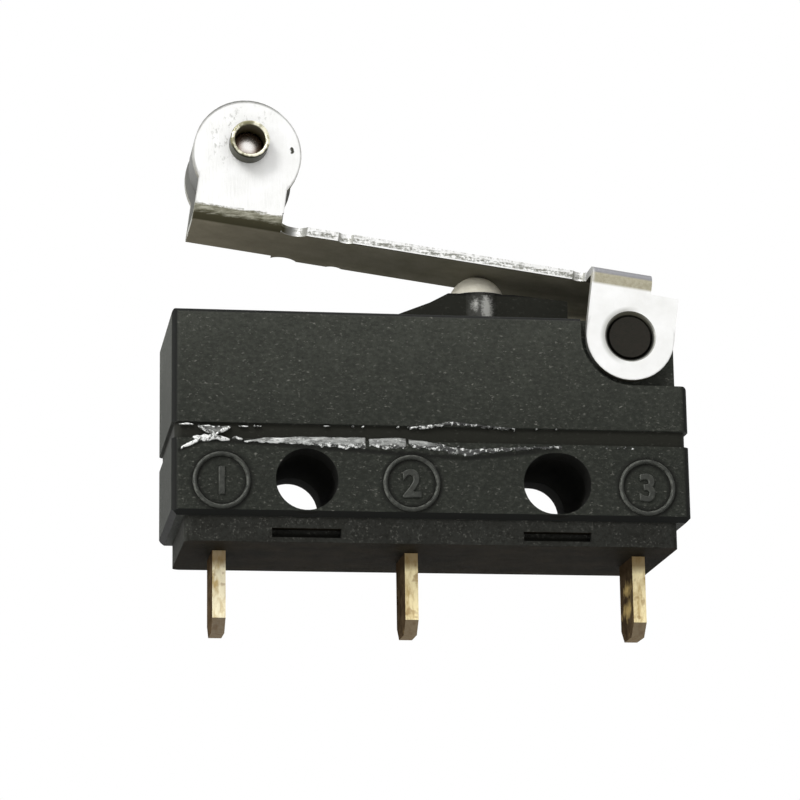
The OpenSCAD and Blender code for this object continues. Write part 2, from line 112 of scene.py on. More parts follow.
class Finish:
    """One node material: node() adds any node, with its settings first and then its sockets."""

    def __init__(self, name):
        self.material = bpy.data.materials.new(name)
        self.material.use_nodes = True
        self.tree = self.material.node_tree
        self.tree.nodes.clear()
        self.output = self.tree.nodes.new("ShaderNodeOutputMaterial")

    def node(self, kind, settings=None, out=0, **sockets):
        """The output numbered out of a new node. Sockets go by name or, as in0, by number."""
        node = self.tree.nodes.new("ShaderNode" + kind)
        for key, value in (settings or {}).items():
            setattr(node, key, value)
        for key, value in sockets.items():
            slot = node.inputs[int(key[2:])] if key[2:].isdigit() else node.inputs[key.replace("_", " ")]
            self._feed(slot, value)
        return Value(self.tree, node.outputs[out])

    def _feed(self, slot, value):
        """Links a Value to a socket, or sets the socket to a plain value."""
        if isinstance(value, Value):
            self.tree.links.new(value.socket, slot)
        elif isinstance(value, tuple) and len(value) == 3 and slot.type == "RGBA":
            slot.default_value = (*value, 1)
        else:
            slot.default_value = value

    def _parts(self, kind):
        """One output of the Texture Coordinate node as three numbers."""
        split = self.node("SeparateXYZ", Vector=self.node("TexCoord", out=kind)).socket.node
        return [Value(self.tree, output) for output in split.outputs]

    def normal(self):
        """The three parts of the surface's normal."""
        return self._parts(NORMAL)

    def place(self):
        """The piece's own coordinates in millimetres, as three numbers."""
        return [part * (1 / MM) for part in self._parts(PLACE)]

    def point(self):
        """The piece's own coordinates in millimetres, as the vector that noise takes."""
        return self.node("VectorMath", {"operation": "SCALE"}, Vector=self.node("TexCoord", out=PLACE),
                         Scale=1 / MM)

    def noise(self, vector, scale, detail=4.0, roughness=0.55):
        """Noise over millimetre coordinates; scale is lumps per millimetre."""
        return self.node("TexNoise", Vector=vector, Scale=scale, Detail=detail, Roughness=roughness)

    def stretched(self, vector, x, y, z):
        """The vector with its parts multiplied: less than 1 draws noise out, more squeezes it."""
        return self.node("VectorMath", {"operation": "MULTIPLY"}, in0=vector, in1=(x, y, z))

    def blend(self, factor, first, second):
        """A colour between two others: first at factor 0, second at 1."""
        return self.node("Mix", {"data_type": "RGBA"}, out=2, in0=factor, in6=first, in7=second)

    def bump(self, height, depth):
        """Bump whose height of 1 stands for depth millimetres."""
        return self.node("Bump", Strength=1.0, Distance=depth * MM, Height=height)

    def surface(self, **sockets):
        """Ends the material with a Principled shader, and returns it."""
        shader = self.node("BsdfPrincipled", **sockets)
        self.tree.links.new(shader.socket, self.output.inputs[0])
        return self.material


def put(name, mesh, finish, body=None):
    """Puts a mesh into the scene as one piece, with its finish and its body."""
    piece = bpy.data.objects.new(name, mesh)
    bpy.context.collection.objects.link(piece)
    mesh.materials.append(finish)
    if body:
        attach(piece, body)
    return piece


def grid_mesh(name, points, around=False, outward=False):
    """A mesh over a grid of points, shaped (rows, columns, 3).

    around joins the last column to the first. Rows or columns that shrink to one
    point are welded there, and outward turns every face away from the inside.
    """
    rows, columns = points.shape[:2]
    index = np.arange(rows * columns).reshape(rows, columns)
    if around:
        index = np.append(index, index[:, :1], axis=1)
    faces = np.stack([index[:-1, :-1], index[:-1, 1:], index[1:, 1:], index[1:, :-1]], axis=-1)
    mesh = bpy.data.meshes.new(name)
    mesh.from_pydata(points.reshape(-1, 3).tolist(), [], faces.reshape(-1, 4).tolist())
    work = bmesh.new()
    work.from_mesh(mesh)
    bmesh.ops.remove_doubles(work, verts=work.verts, dist=WELD_DISTANCE)
    if outward:
        bmesh.ops.recalc_face_normals(work, faces=work.faces)
    work.to_mesh(mesh)
    work.free()
    mesh.shade_smooth()
    return mesh


def spun(x, z, radius, y, steps):
    """A section of radii and depths y turned round the line through (x, z), as a grid of points.

    Point (i, j) is (x + r_i cos t_j, y_i, z + r_i sin t_j), with t_j = 2 pi j / steps.
    """
    turn = np.linspace(0, 2 * np.pi, steps + 1)[:-1]
    return np.stack([x + np.outer(radius, np.cos(turn)), np.repeat(y[:, None], steps, axis=1),
                     z + np.outer(radius, np.sin(turn))], axis=-1)


def lamp(name, place, width, watts):
    """A square area lamp at place, in metres, turned to face the switch."""
    light = bpy.data.lights.new(name, "AREA")
    light.size = width
    light.energy = watts
    holder = bpy.data.objects.new(name, light)
    bpy.context.collection.objects.link(holder)
    holder.location = place
    holder.rotation_euler = (switch_centre - Vector(place)).to_track_quat("-Z", "Y").to_euler()


def white_where_seen(tree, shade, strength):
    """Shows plain white to the camera and in glossy and clear surfaces, and shade to all else."""
    ray = tree.nodes.new("ShaderNodeLightPath")
    seen = Value(tree, ray.outputs["Is Camera Ray"]).most(Value(tree, ray.outputs["Is Glossy Ray"]))
    seen = seen.most(Value(tree, ray.outputs["Is Transmission Ray"]))
    mix = tree.nodes.new("ShaderNodeMixShader")
    tree.links.new((seen * strength).socket, mix.inputs[0])
    tree.links.new(shade.outputs[0], mix.inputs[1])
    return mix


switch_centre = Vector((4.03, 0, 3.89)) * MM
floor_z = -48 * MM
floor_reach = 2  # metres from the middle of the floor to its edges
paper_whiteness = 0.85
sky_strength = 0.42
corners = np.array([[[-floor_reach, -floor_reach, floor_z], [-floor_reach, floor_reach, floor_z]],
                    [[floor_reach, -floor_reach, floor_z], [floor_reach, floor_reach, floor_z]]])
paper = Finish("white_paper")
paper_shade = paper.node("BsdfDiffuse", Color=(0.86, 0.86, 0.86)).socket.node
paper_mix = white_where_seen(paper.tree, paper_shade, paper_whiteness)
paper_glow = paper.node("Emission", Color=(1.0, 1.0, 1.0), Strength=1.0)
paper.tree.links.new(paper_glow.socket, paper_mix.inputs[2])
paper.tree.links.new(paper_mix.outputs[0], paper.output.inputs[0])
put("studio_floor", grid_mesh("studio_floor", corners), paper.material)

world = bpy.data.worlds.new("studio")
world.use_nodes = True
bpy.context.scene.world = world
sky = world.node_tree
sky.nodes.clear()
dim_sky = sky.nodes.new("ShaderNodeBackground")
dim_sky.inputs["Strength"].default_value = sky_strength
white_sky = sky.nodes.new("ShaderNodeBackground")
for background in (dim_sky, white_sky):
    background.inputs["Color"].default_value = (1, 1, 1, 1)
sky_mix = white_where_seen(sky, dim_sky, 1.0)
sky.links.new(white_sky.outputs[0], sky_mix.inputs[2])
sky.links.new(sky_mix.outputs[0], sky.nodes.new("ShaderNodeOutputWorld").inputs[0])

lamp("front_lamp", (-0.12, -0.16, 0.16), 0.08, 0.34)
lamp("left_lamp", (-0.22, -0.03, 0.04), 0.08, 0.20)
lamp("top_lamp", (0.02, 0.00, 0.22), 0.12, 0.16)
lamp("low_lamp", (0.10, -0.16, -0.05), 0.08, 0.03)

# The view: a little from the left and from below, close enough for some perspective.
azimuth, elevation, roll = map(math.radians, (-8.836, -13.724, -0.84))
camera_distance = 120 * MM
back = Vector((math.sin(azimuth) * math.cos(elevation), -math.cos(azimuth) * math.cos(elevation),
               math.sin(elevation)))
lens = bpy.data.cameras.new("camera")
lens.lens = 139.6
lens.sensor_width = 36
lens.clip_start = 0.005
camera = bpy.data.objects.new("camera", lens)
bpy.context.collection.objects.link(camera)
camera.location = switch_centre + back * camera_distance
upright = back.to_track_quat("Z", "Y").to_matrix()
camera.rotation_euler = (upright @ Matrix.Rotation(roll, 3, "Z")).to_euler()
bpy.context.scene.camera = camera
bpy.context.scene.view_settings.view_transform = "Standard"

# ---------------------------------------------------------------------------
# Cover: black glass-filled nylon, moulded in one piece with its collar and
# pivot bosses. Its flat faces carry the grain of the mould with pale flecks of
# fibre; its rounded edges, the seam and the collar are smooth, and are painted
# darker as shade.
# ---------------------------------------------------------------------------
# Places in millimetres; the mounting holes are at height 0, the left one at x = 0.
hole_spacing = 9.5
half_depth = 3.2
case_top, collar_top = 6.5, 7.8
seam_low, seam_high = 1.5, 2.1
pivot_x, pivot_z = 12.5, 5.82
boss_radius = 0.8
plunger_x = 7.1
ring_places, ring_z, ring_radius = (-3.19, 3.94, 12.95), -0.1, 1.0
# The colour of the painted shadows at the rings' feet and under the flash
painted_shadow = (0.006, 0.006, 0.005)


def dress(finish, *nodes):
    """Gives CAD nodes one finish."""
    for node in nodes:
        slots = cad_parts[node].data.materials
        slots.clear()
        slots.append(finish)


def distance(x, z, from_x=0.0, from_z=0.0):
    """How far (x, z) is from another point of its plane."""
    return ((x - from_x) ** 2 + (z - from_z) ** 2) ** 0.5


nylon = Finish("cover_nylon")
point = nylon.point()
x, y, z = nylon.place()
facing = [abs(part) for part in nylon.normal()]
flat = facing[0].most(facing[1]).most(facing[2]).between(0.9, 0.999)
on_front = (0 - y).between(half_depth - 0.01, half_depth - 0.005)
# Grain is noise in height and shade, a little longer along x; flecks are the peaks
# of a finer noise and gather in patches, and chips are larger pale and dark marks.
cloud = nylon.noise(point, 0.7, 5.0, 0.6)
grain = nylon.noise(nylon.stretched(point, 0.75, 1.0, 1.1), 6.5, 6.0, 0.75)
fine = nylon.noise(nylon.stretched(point, 0.8, 1.0, 1.0), 11.0, 4.0, 0.7)
patches = nylon.noise(point, 2.1, 4.0, 0.65).between(0.42, 0.66)
low_shade, high_shade = (0.0254, 0.0278, 0.0223), (0.0525, 0.0557, 0.046)
# Painted light and shade: the colour is lighter towards the top and darker towards the bottom, as light from
# above would leave it.
shade = nylon.blend(z.between(1.6, 6.2), low_shade, high_shade)
shade = nylon.blend(cloud.between(0.3, 0.7) * 0.35, shade, tuple(0.6 * c for c in low_shade))
shade = nylon.blend(grain.between(0.5, 0.68) * 0.32, shade, (0.09, 0.094, 0.08))
shade = nylon.blend(grain.between(0.52, 0.34) * 0.42, shade, (0.01, 0.0105, 0.009))
shade = nylon.blend(fine.between(0.58, 0.74) * patches * 0.6, shade, (0.24, 0.24, 0.21))
chips = nylon.noise(nylon.stretched(point, 0.65, 1.0, 1.25), 7.5, 2.0, 0.5)
chipped = chips.between(0.62, 0.73) * (0.3 + 0.7 * patches) * (1 - 0.6 * facing[0])
shade = nylon.blend(chipped, shade, (0.2, 0.2, 0.175))
shade = nylon.blend(chips.between(0.3, 0.24) * 0.6, shade, (0.008, 0.0085, 0.007))
# The seam's channel, the collar and the pivot bosses are smooth, and painted darker as shade.
seam = z.between(seam_low - 0.01, seam_low + 0.02) * z.between(seam_high + 0.01, seam_high - 0.02)
boss = distance(x, z, pivot_x, pivot_z).between(boss_radius + 0.06, boss_radius) * abs(y).between(2.4, 2.5)
smooth_and_shaded = seam.most(z.between(case_top - 0.01, case_top + 0.02)).most(boss)
shade = nylon.blend(smooth_and_shaded * 0.85, shade, (0.0125, 0.0125, 0.009))
shade = nylon.blend(boss * grain.between(0.3, 0.6), shade, (0.023, 0.02, 0.016))
# The rounded edges are painted dark, as shade.
shade = nylon.blend((1 - flat) * (1 - smooth_and_shaded), shade, (0.007, 0.0075, 0.0065))
# The mounting holes' walls are matt and painted dark, as shade inside the holes.
from_holes = distance(x, z).least(distance(x, z, hole_spacing))
bore = from_holes.between(1.36, 1.3) * abs(y).between(half_depth - 0.01, half_depth - 0.05)
shade = nylon.blend(bore, shade, (0.009, 0.009, 0.0075))
# A painted shadow lies round the feet of the terminal rings.
from_ring = [abs(distance(x, z, ring_x, ring_z) - ring_radius) for ring_x in ring_places]
from_ring = from_ring[0].least(from_ring[1]).least(from_ring[2])
shade = nylon.blend(from_ring.between(0.26, 0.12) * on_front * 0.75, shade, painted_shadow)
# Below the flash a painted shadow runs along its ragged edge.
melt_edge = (1.36 - 0.055 * (x + 2.4)).most(0.12 * (x - 6.1) + 0.9).least(1.3 + 0.42 * (x + 4.1))
shadow_under_flash = abs(z - melt_edge + 0.2 * (grain - 0.5)).between(0.13, 0.04) * x.between(9.9, 8.5)
shade = nylon.blend(shadow_under_flash * on_front * 0.8, shade, painted_shadow)
# The collar's front carries a painted highlight below the plunger, and its rim a painted black shadow.
front = (0 - y).between(1.0, 1.2)
shade = nylon.blend(z.between(collar_top, collar_top + 0.07) * 0.9, shade, (0.004, 0.004, 0.0035))
highlight_halo = x.near(plunger_x, 0.8) * z.near(7.3, 1.1) * front
highlight_halo = (highlight_halo * 2 + 2 * (grain - 0.5)).between(0.3, 1.4) * front
shade = nylon.blend(highlight_halo * 0.8, shade, (0.09, 0.09, 0.083))
large_highlight = x.near(7.28, 0.32) * (z + 0.5 * (x - 7.28)).near(7.3, 0.9)
small_highlight = 0.7 * x.near(6.84, 0.26) * z.near(7.45, 0.4)
painted_highlight = large_highlight.most(small_highlight) * front * z.between(collar_top + 0.07, collar_top)
painted_highlight = (painted_highlight * 1.8 + 2.4 * (fine - 0.5)).between(0.25, 1.2) * painted_highlight.between(0.0, 0.25)
cover_nylon = nylon.surface(
    Base_Color=nylon.blend(painted_highlight * 0.9, shade, (0.5, 0.5, 0.47)),
    Roughness=(0.45 + 0.3 * grain).most(bore),
    Specular_IOR_Level=0.1,
    Normal=nylon.bump((grain + 0.7 * fine) * flat * (1 - 0.8 * smooth_and_shaded), 0.05),
)
dress(cover_nylon, "case")

# ---------------------------------------------------------------------------
# Terminal rings: three shallow rings moulded on the cover's front, each with
# a raised number that tells the terminals apart.
# ---------------------------------------------------------------------------
front_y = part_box("case")[0].y
ring_half = 0.085 * MM
ring_height = 0.12 * MM
number_height = 1.0 * MM


def ring_mesh(name, x, z):
    """A ring round (x, z) on the front face.

    Its section is half an ellipse, ring_half each way and ring_height proud, with
    a share of its height sunk into the face.
    """
    sunk = 0.15
    across = np.linspace(0, np.pi, 9)
    radius = ring_radius * MM + ring_half * np.cos(across)
    proud = ring_height * np.sin(across) * (1 + sunk) - sunk * ring_height
    return grid_mesh(name, spun(x, z, radius, front_y - proud, steps=96)[::-1], around=True)


def number_mesh(name, text, x, z, height):
    """A raised number, its letterform thickened and rounded, standing on the front face."""
    letter = bpy.data.curves.new(name, "FONT")
    letter.body = text
    letter.size = height / 0.7  # digits are 0.7 of the type size tall
    letter.align_x = "CENTER"
    letter.extrude = 0.05 * MM
    letter.bevel_depth = 0.035 * MM
    letter.bevel_resolution = 2
    letter.offset = 0.01 * MM
    holder = bpy.data.objects.new(name, letter)
    bpy.context.collection.objects.link(holder)
    mesh = bpy.data.meshes.new_from_object(holder.evaluated_get(bpy.context.evaluated_depsgraph_get()))
    bpy.data.objects.remove(holder)
    mesh.transform(Matrix.Translation((x, front_y, z - height / 2)) @ Matrix.Rotation(math.pi / 2, 4, "X"))
    return mesh


raised = Finish("raised_nylon")
grain = raised.noise(raised.point(), 6.0, 5.0, 0.7)
raised_shade = raised.blend(grain.between(0.35, 0.65), (0.021, 0.0225, 0.0185), (0.044, 0.0465, 0.039))
# The sides that face left and up catch the lamps.
normal_x, _, normal_z = raised.normal()
lit = (0 - normal_x).between(0.1, 0.8).most(normal_z.between(0.1, 0.8))
raised_nylon = raised.surface(
    Base_Color=raised.blend(lit * grain.between(0.4, 0.55), raised_shade, (0.11, 0.115, 0.1)),
    Roughness=0.3 + 0.2 * grain,
    Specular_IOR_Level=0.25,
    Normal=raised.bump(grain, 0.04),
)
for number, ring_x in zip("123", ring_places):
    name = "ring_" + number
    put(name, ring_mesh(name, ring_x * MM, ring_z * MM), raised_nylon, "housing")
    name = "number_" + number
    put(name, number_mesh(name, number, ring_x * MM, ring_z * MM, number_height), raised_nylon,
        "housing")

# ---------------------------------------------------------------------------
# Boss steps: a low moulded ring round the foot of each pivot boss, which keeps
# the lever's ear off the cover. It is a little thinner than the gap it fills.
# ---------------------------------------------------------------------------
recess_floor = 2.75
step_inner, step_outer = 0.79, 1.02
step_thickness, step_edge, step_sink = 0.045, 0.04, 0.05


def boss_step_mesh(name, side):
    """A washer on the recess's floor, its outer edge rounded as a quarter ellipse.

    Over the edge's quarter turn b the radius is step_outer - step_edge (1 - sin b) and
    the height step_thickness cos b; the washer is sunk step_sink into the floor.
    """
    bend = np.linspace(0, np.pi / 2, 5)
    radius = np.concatenate([[step_inner], step_outer - step_edge + step_edge * np.sin(bend),
                             [step_outer, step_inner]])
    out = np.concatenate([[step_thickness], step_thickness * np.cos(bend), [-step_sink, -step_sink]])
    ring = spun(pivot_x, pivot_z, radius, side * (recess_floor + out), steps=48)
    return grid_mesh(name, np.concatenate([ring, ring[:1]]) * MM, around=True, outward=True)


for name, side in (("boss_step_front", -1), ("boss_step_rear", 1)):
    put(name, boss_step_mesh(name, side), cover_nylon, "housing")

# ---------------------------------------------------------------------------
# Flash along the seam: nylon that melted when the cover was welded, and set
# as a glossy ragged band on the seam's lower edge, with beads, specks and one
# crossed smear beside the left end. It stands a few hundredths proud.
# ---------------------------------------------------------------------------
flash = Finish("melted_nylon")
point = flash.point()
x, y, z = flash.place()
ripple = flash.noise(flash.stretched(point, 0.6, 1.0, 2.2), 3.6, 5.0, 0.65)
spark = flash.noise(point, 7.5, 4.0, 0.65)
# Smooth and grey where it set as a band; broken into bright and black grains along
# the band's lower edge, above the seam, and wherever it is thin. The grey is
# lightened, and the white flecks, streaks and bright grains are painted, as
# reflections of the flash's gloss.
crumbled = (z + 0.3 * (ripple - 0.5)).between(1.38, 1.3).most(z.between(1.7, 1.76))
crumbled = crumbled.most(x.between(-2.3, -2.6)).most(x.between(4.4, 5.0))
smooth_shade = flash.blend(ripple.between(0.36, 0.62), (0.15, 0.155, 0.145), (0.42, 0.43, 0.41))
smooth_shade = flash.blend(spark.between(0.6, 0.68), smooth_shade, (0.8, 0.82, 0.79))
smooth_shade = flash.blend(x.between(0.8, -1.0) * ripple.between(0.46, 0.6), smooth_shade, (0.86, 0.87, 0.85))
thin = (0 - y).between(half_depth + 0.045, half_depth + 0.025)
cross = x.between(-2.6, -2.8)
sparse = 0.07 * x.between(4.0, 5.4) * x.between(10.6, 10.0) + (0.09 * thin - 0.05 * (1 - thin)) * cross
grain_shade = flash.blend((spark - sparse).between(0.46, 0.5), (0.014, 0.0145, 0.012), (0.3, 0.31, 0.29))
grain_shade = flash.blend((spark - sparse).between(0.52, 0.57), grain_shade, (0.95, 0.96, 0.94))
film_shade = flash.blend(spark.between(0.35, 0.62), (0.05, 0.052, 0.047), (0.2, 0.205, 0.19))
grain_shade = flash.blend(thin * cross * 0.9, grain_shade, film_shade)
melted_nylon = flash.surface(
    Base_Color=flash.blend(crumbled, smooth_shade, grain_shade),
    Roughness=0.16 + 0.25 * ripple,
    Coat_Weight=0.3,
    Normal=flash.bump(ripple + 0.5 * spark, 0.07),
)
chance = np.random.RandomState(7)
flash_sink = 0.12
smear_step, band_step = 0.05, 0.04


def wander(count, size, step):
    """Smooth random numbers of about size, one value every step samples with cosine blends between."""
    knots = chance.uniform(-size, size, count // step + 2)
    place = np.arange(count) / step
    low = place.astype(int)
    share = 0.5 - 0.5 * np.cos(np.pi * (place - low))
    return knots[low] * (1 - share) + knots[low + 1] * share


def smear_mesh(name, corners, half_width, proud):
    """A melted smear along a path on the front face, corners in millimetres as (x, z).

    A line through the corners is sampled evenly. At each sample the section is a
    closed oval, half_width up and down, proud in front of the face and flash_sink
    behind it, and both ends shrink to a point. Width and height wander at random.
    """
    corners = np.array(corners, float)
    along = np.append(0, np.cumsum(np.hypot(*np.diff(corners, axis=0).T)))
    count = max(12, int(along[-1] / smear_step))
    at = np.linspace(0, along[-1], count)
    x = np.interp(at, along, corners[:, 0])
    z = np.interp(at, along, corners[:, 1]) + wander(count, 0.25 * half_width, 3)
    taper = np.sqrt(np.clip(1 - np.abs(2 * at / along[-1] - 1) ** 4, 0, 1))
    wide = half_width * taper * (1 + wander(count, 0.35, 3))
    high = proud * taper * (1 + wander(count, 0.4, 2))
    turn = np.linspace(0, 2 * np.pi, 13)[:-1]
    bulge = np.where(np.cos(turn) > 0, high[:, None], flash_sink * taper[:, None]) * np.cos(turn)
    oval = np.stack([np.repeat(x[:, None], len(turn), axis=1), front_y / MM - bulge,
                     z[:, None] + wide[:, None] * np.sin(turn)], axis=-1)
    return grid_mesh(name, oval * MM, around=True, outward=True)


def band_mesh(name, upper, lower, proud):
    """A ragged band between an upper and a lower edge, each a list of (x, z) in millimetres.

    Rows run across the band: the two edges are sunk behind the face and the band
    between them swells proud of it as half a sine, with random ripples.
    """
    upper, lower = np.array(upper, float), np.array(lower, float)
    x = np.linspace(upper[0, 0], upper[-1, 0], int((upper[-1, 0] - upper[0, 0]) / band_step))
    top = np.interp(x, upper[:, 0], upper[:, 1]) + wander(len(x), 0.012, 5)
    low = np.interp(x, lower[:, 0], lower[:, 1]) + wander(len(x), 0.05, 3) + wander(len(x), 0.03, 2)
    low = np.minimum(low, top - 0.03)
    across = np.linspace(0, 1, 13)
    end = np.clip(np.minimum(x - x[0], x[-1] - x) / 0.2, 0, 1) ** 0.5
    swell = np.sin(np.pi * across) ** 0.6 * np.stack([1 + wander(len(x), 0.45, 3) for _ in across], axis=1)
    bulge = proud * swell * end[:, None] - flash_sink * (np.abs(2 * across - 1) ** 8)
    band = np.stack([np.repeat(x[:, None], len(across), axis=1), front_y / MM - bulge,
                     top[:, None] + (low - top)[:, None] * across], axis=-1)
    rear = band[:, ::-1].copy()
    rear[:, :, 1] = front_y / MM + flash_sink
    closed = np.concatenate([band, rear[:, 1:-1]], axis=1)
    middle = closed.mean(axis=1, keepdims=True)
    closed = np.concatenate([np.repeat(middle[:1], closed.shape[1], axis=1), closed,
                             np.repeat(middle[-1:], closed.shape[1], axis=1)])
    return grid_mesh(name, closed * MM, around=True, outward=True)


# Each band: its upper edge, its lower edge, and how far it stands proud
bands = {
    "flash_band_left": (
        [(-2.36, 1.41), (-2.06, 1.45), (-1.58, 1.56), (-0.99, 1.57), (-0.45, 1.62), (0.35, 1.64),
         (1.49, 1.64), (2.2, 1.66)],
        [(-2.36, 1.35), (-1.52, 1.35), (-0.99, 1.32), (-0.18, 1.29), (0.35, 1.24), (0.89, 1.2),
         (1.48, 1.17), (2.2, 1.14)], 0.07),
    "flash_band_middle": (
        [(2.34, 1.58), (2.83, 1.64), (3.5, 1.67), (3.74, 1.64)],
        [(2.34, 1.3), (2.83, 1.16), (3.64, 1.2), (3.74, 1.3)], 0.07),
    "flash_band_right": (
        [(3.84, 1.6), (4.35, 1.57), (4.73, 1.5), (5.08, 1.47), (5.3, 1.4)],
        [(3.84, 1.4), (4.0, 1.24), (4.4, 1.22), (4.72, 1.16), (5.3, 1.14)], 0.07),
    "flash_web": (
        [(-4.08, 1.99), (-3.5, 1.97), (-2.88, 1.98)],
        [(-4.08, 1.9), (-3.8, 1.74), (-3.46, 1.6), (-3.15, 1.74), (-2.88, 1.9)], 0.014),
    "flash_ridge": (
        [(3.9, 2.08), (4.5, 2.14), (5.0, 2.22), (5.54, 2.3), (6.19, 2.25), (6.84, 2.18), (7.9, 2.1)],
        [(3.9, 2.04), (4.5, 2.05), (5.0, 2.1), (5.54, 2.17), (6.19, 2.13), (6.84, 2.08), (7.9, 2.05)], 0.05),
    "flash_trail": (
        [(5.0, 1.42), (5.6, 1.32), (6.3, 1.28), (7.2, 1.34), (8.2, 1.38), (9.7, 1.46)],
        [(5.0, 1.14), (5.6, 1.02), (6.1, 0.98), (7.2, 1.14), (8.2, 1.26), (9.7, 1.36)], 0.04),
}
for name, (upper, lower, proud) in bands.items():
    put(name, band_mesh(name, upper, lower, proud), melted_nylon, "housing")

# Each smear: its path, half its width, and how far it stands proud
smears = {
    "flash_line": ([(-4.8, 2.0), (-4.5, 2.01), (-4.21, 2.0)], 0.035, 0.05),
    "flash_cross_a": ([(-4.11, 1.95), (-3.97, 1.89), (-3.76, 1.78), (-3.6, 1.71), (-3.42, 1.64)], 0.09, 0.08),
    "flash_cross_b": ([(-2.83, 1.94), (-3.02, 1.87), (-3.23, 1.76), (-3.42, 1.65), (-3.5, 1.54)], 0.08, 0.07),
    "flash_cross_c": (
        [(-4.3, 1.5), (-4.03, 1.48), (-3.66, 1.51), (-3.42, 1.53), (-3.12, 1.47), (-2.86, 1.44)], 0.11, 0.1),
    "flash_cross_d": (
        [(-4.02, 1.95), (-3.86, 1.93), (-3.68, 1.96), (-3.5, 1.9), (-3.31, 1.94), (-3.16, 1.88)], 0.04, 0.05),
    "flash_cross_e": ([(-2.82, 1.5), (-2.68, 1.53), (-2.52, 1.46), (-2.4, 1.47)], 0.05, 0.03),
    "flash_tail": ([(-4.0, 1.4), (-4.24, 1.33), (-4.45, 1.24), (-4.61, 1.16), (-4.74, 1.07)], 0.08, 0.07),
    "flash_upper_a": ([(-2.56, 1.97), (-2.32, 1.96), (-2.19, 1.96)], 0.022, 0.03),
    "flash_upper_b": ([(-2.02, 1.97), (-1.85, 1.98), (-1.7, 1.98)], 0.022, 0.03),
    "flash_upper_c": ([(0.62, 2.03), (0.75, 2.03), (0.9, 2.04)], 0.022, 0.03),
    "flash_bead_a": ([(4.22, 2.0), (4.52, 2.05), (4.78, 2.07)], 0.035, 0.05),
    "flash_bead_b": ([(4.88, 2.12), (5.01, 2.16), (5.29, 2.22), (5.6, 2.26), (5.78, 2.24)], 0.05, 0.06),
    "flash_bead_c": ([(5.9, 2.18), (6.05, 2.2)], 0.045, 0.05),
    "flash_bead_d": ([(6.32, 2.15), (6.42, 2.17)], 0.035, 0.045),
    "flash_bead_e": ([(6.6, 2.1), (6.72, 2.1), (6.85, 2.12)], 0.035, 0.04),
    "flash_bead_f": ([(7.2, 2.08), (7.4, 2.08), (7.6, 2.05)], 0.03, 0.035),
}
specks = [(1.73, 2.03), (2.11, 2.03), (3.44, 2.04), (3.84, 2.04), (8.73, 2.07), (9.5, 2.07), (5.6, 1.27),
          (5.72, 1.33), (5.9, 1.26), (6.09, 1.19), (6.08, 1.1), (6.72, 1.31), (6.76, 1.22), (6.96, 1.26),
          (7.16, 1.25), (7.42, 1.32), (8.06, 1.35), (8.27, 1.36), (8.61, 1.38), (8.77, 1.35), (9.24, 1.37),
          (9.37, 1.41), (9.6, 1.42), (11.44, 1.38), (11.86, 1.39), (12.13, 1.41), (12.44, 1.38)]
for number, (speck_x, speck_z) in enumerate(specks):
    path = [(speck_x - 0.05, speck_z), (speck_x + 0.05, speck_z + 0.02)]
    smears["flash_speck_%d" % number] = (path, 0.032, 0.04)
for name, (path, half_width, proud) in smears.items():
    put(name, smear_mesh(name, path, half_width, proud), melted_nylon, "housing")

# ---------------------------------------------------------------------------
# Base: a brown-black nylon moulding, pressed up into the cover with the
# terminals in it. Only its flange shows, rough in front, and browner below,
# where it is also painted darker as shade.
# ---------------------------------------------------------------------------
base = Finish("base_nylon")
point = base.point()
x, y, z = base.place()
_, normal_y, normal_z = base.normal()
under = (0 - normal_z).between(0.6, 0.9)
cloud = base.noise(point, 0.9, 5.0, 0.6)
grain = base.noise(point, 7.0, 5.0, 0.75)
fine = base.noise(point, 12.0, 4.0, 0.7)
patches = base.noise(point, 2.6, 3.0, 0.6).between(0.42, 0.6)
base_shade = base.blend(cloud.between(0.3, 0.7), (0.024, 0.024, 0.021), (0.034, 0.035, 0.031))
base_shade = base.blend(fine.between(0.55, 0.72) * patches * 0.8, base_shade, (0.18, 0.18, 0.16))
base_shade = base.blend(grain.between(0.52, 0.36) * 0.5, base_shade, (0.008, 0.008, 0.006))
# Underneath, the flange is browner and painted darker, as shade.
shaded_underside = base.blend(cloud.between(0.35, 0.65), (0.0078, 0.0065, 0.0038), (0.0158, 0.0124, 0.0072))
# The mounting holes' walls are painted dark, as shade.
bore = distance(x, z).least(distance(x, z, hole_spacing)).between(1.5, 1.4)
# The lower half of each latch slot's floor lies in shade.
slot = abs(y).between(2.94, 2.9) * abs(normal_y).between(0.6, 0.9) * z.between(-1.92, -2.0)
base_shade = base.blend(under, base_shade, shaded_underside)
base_nylon = base.surface(
    Base_Color=base.blend(bore.most(slot), base_shade, (0.015, 0.015, 0.0125)),
    Roughness=(0.55 + 0.25 * grain).most(bore),
    Specular_IOR_Level=0.02,
    Normal=base.bump(grain + 0.6 * fine, 0.045),
)
dress(base_nylon, "base")

# ---------------------------------------------------------------------------
# Terminals: brass strip, blanked and pressed through the base. The sheared
# edges are bright; the broad faces are brown with tarnish and flux.
# ---------------------------------------------------------------------------
com_terminal_x = 13.0

strip = Finish("terminal_brass")
point = strip.point()
x, y, z = strip.place()
normal_x, _, normal_z = strip.normal()
cloud = strip.noise(point, 1.8, 5.0, 0.6)
streak = strip.noise(strip.stretched(point, 1.0, 1.0, 0.35), 5.0, 4.0, 0.6)
spots = strip.noise(point, 2.4, 2.0, 0.5)
# The left terminal is a little paler than the other two.
bright_edge = strip.blend(x.between(-2.0, 2.0), (0.92, 0.84, 0.6), (0.93, 0.81, 0.49))
edge_shade = strip.blend(streak.between(0.3, 0.55), (0.54, 0.4, 0.18), bright_edge)
edge_shade = strip.blend(spots.between(0.58, 0.66) * 0.6, edge_shade, (0.32, 0.2, 0.08))
face_shade = strip.blend(cloud.between(0.3, 0.6), (0.03, 0.019, 0.0105), (0.09, 0.062, 0.035))
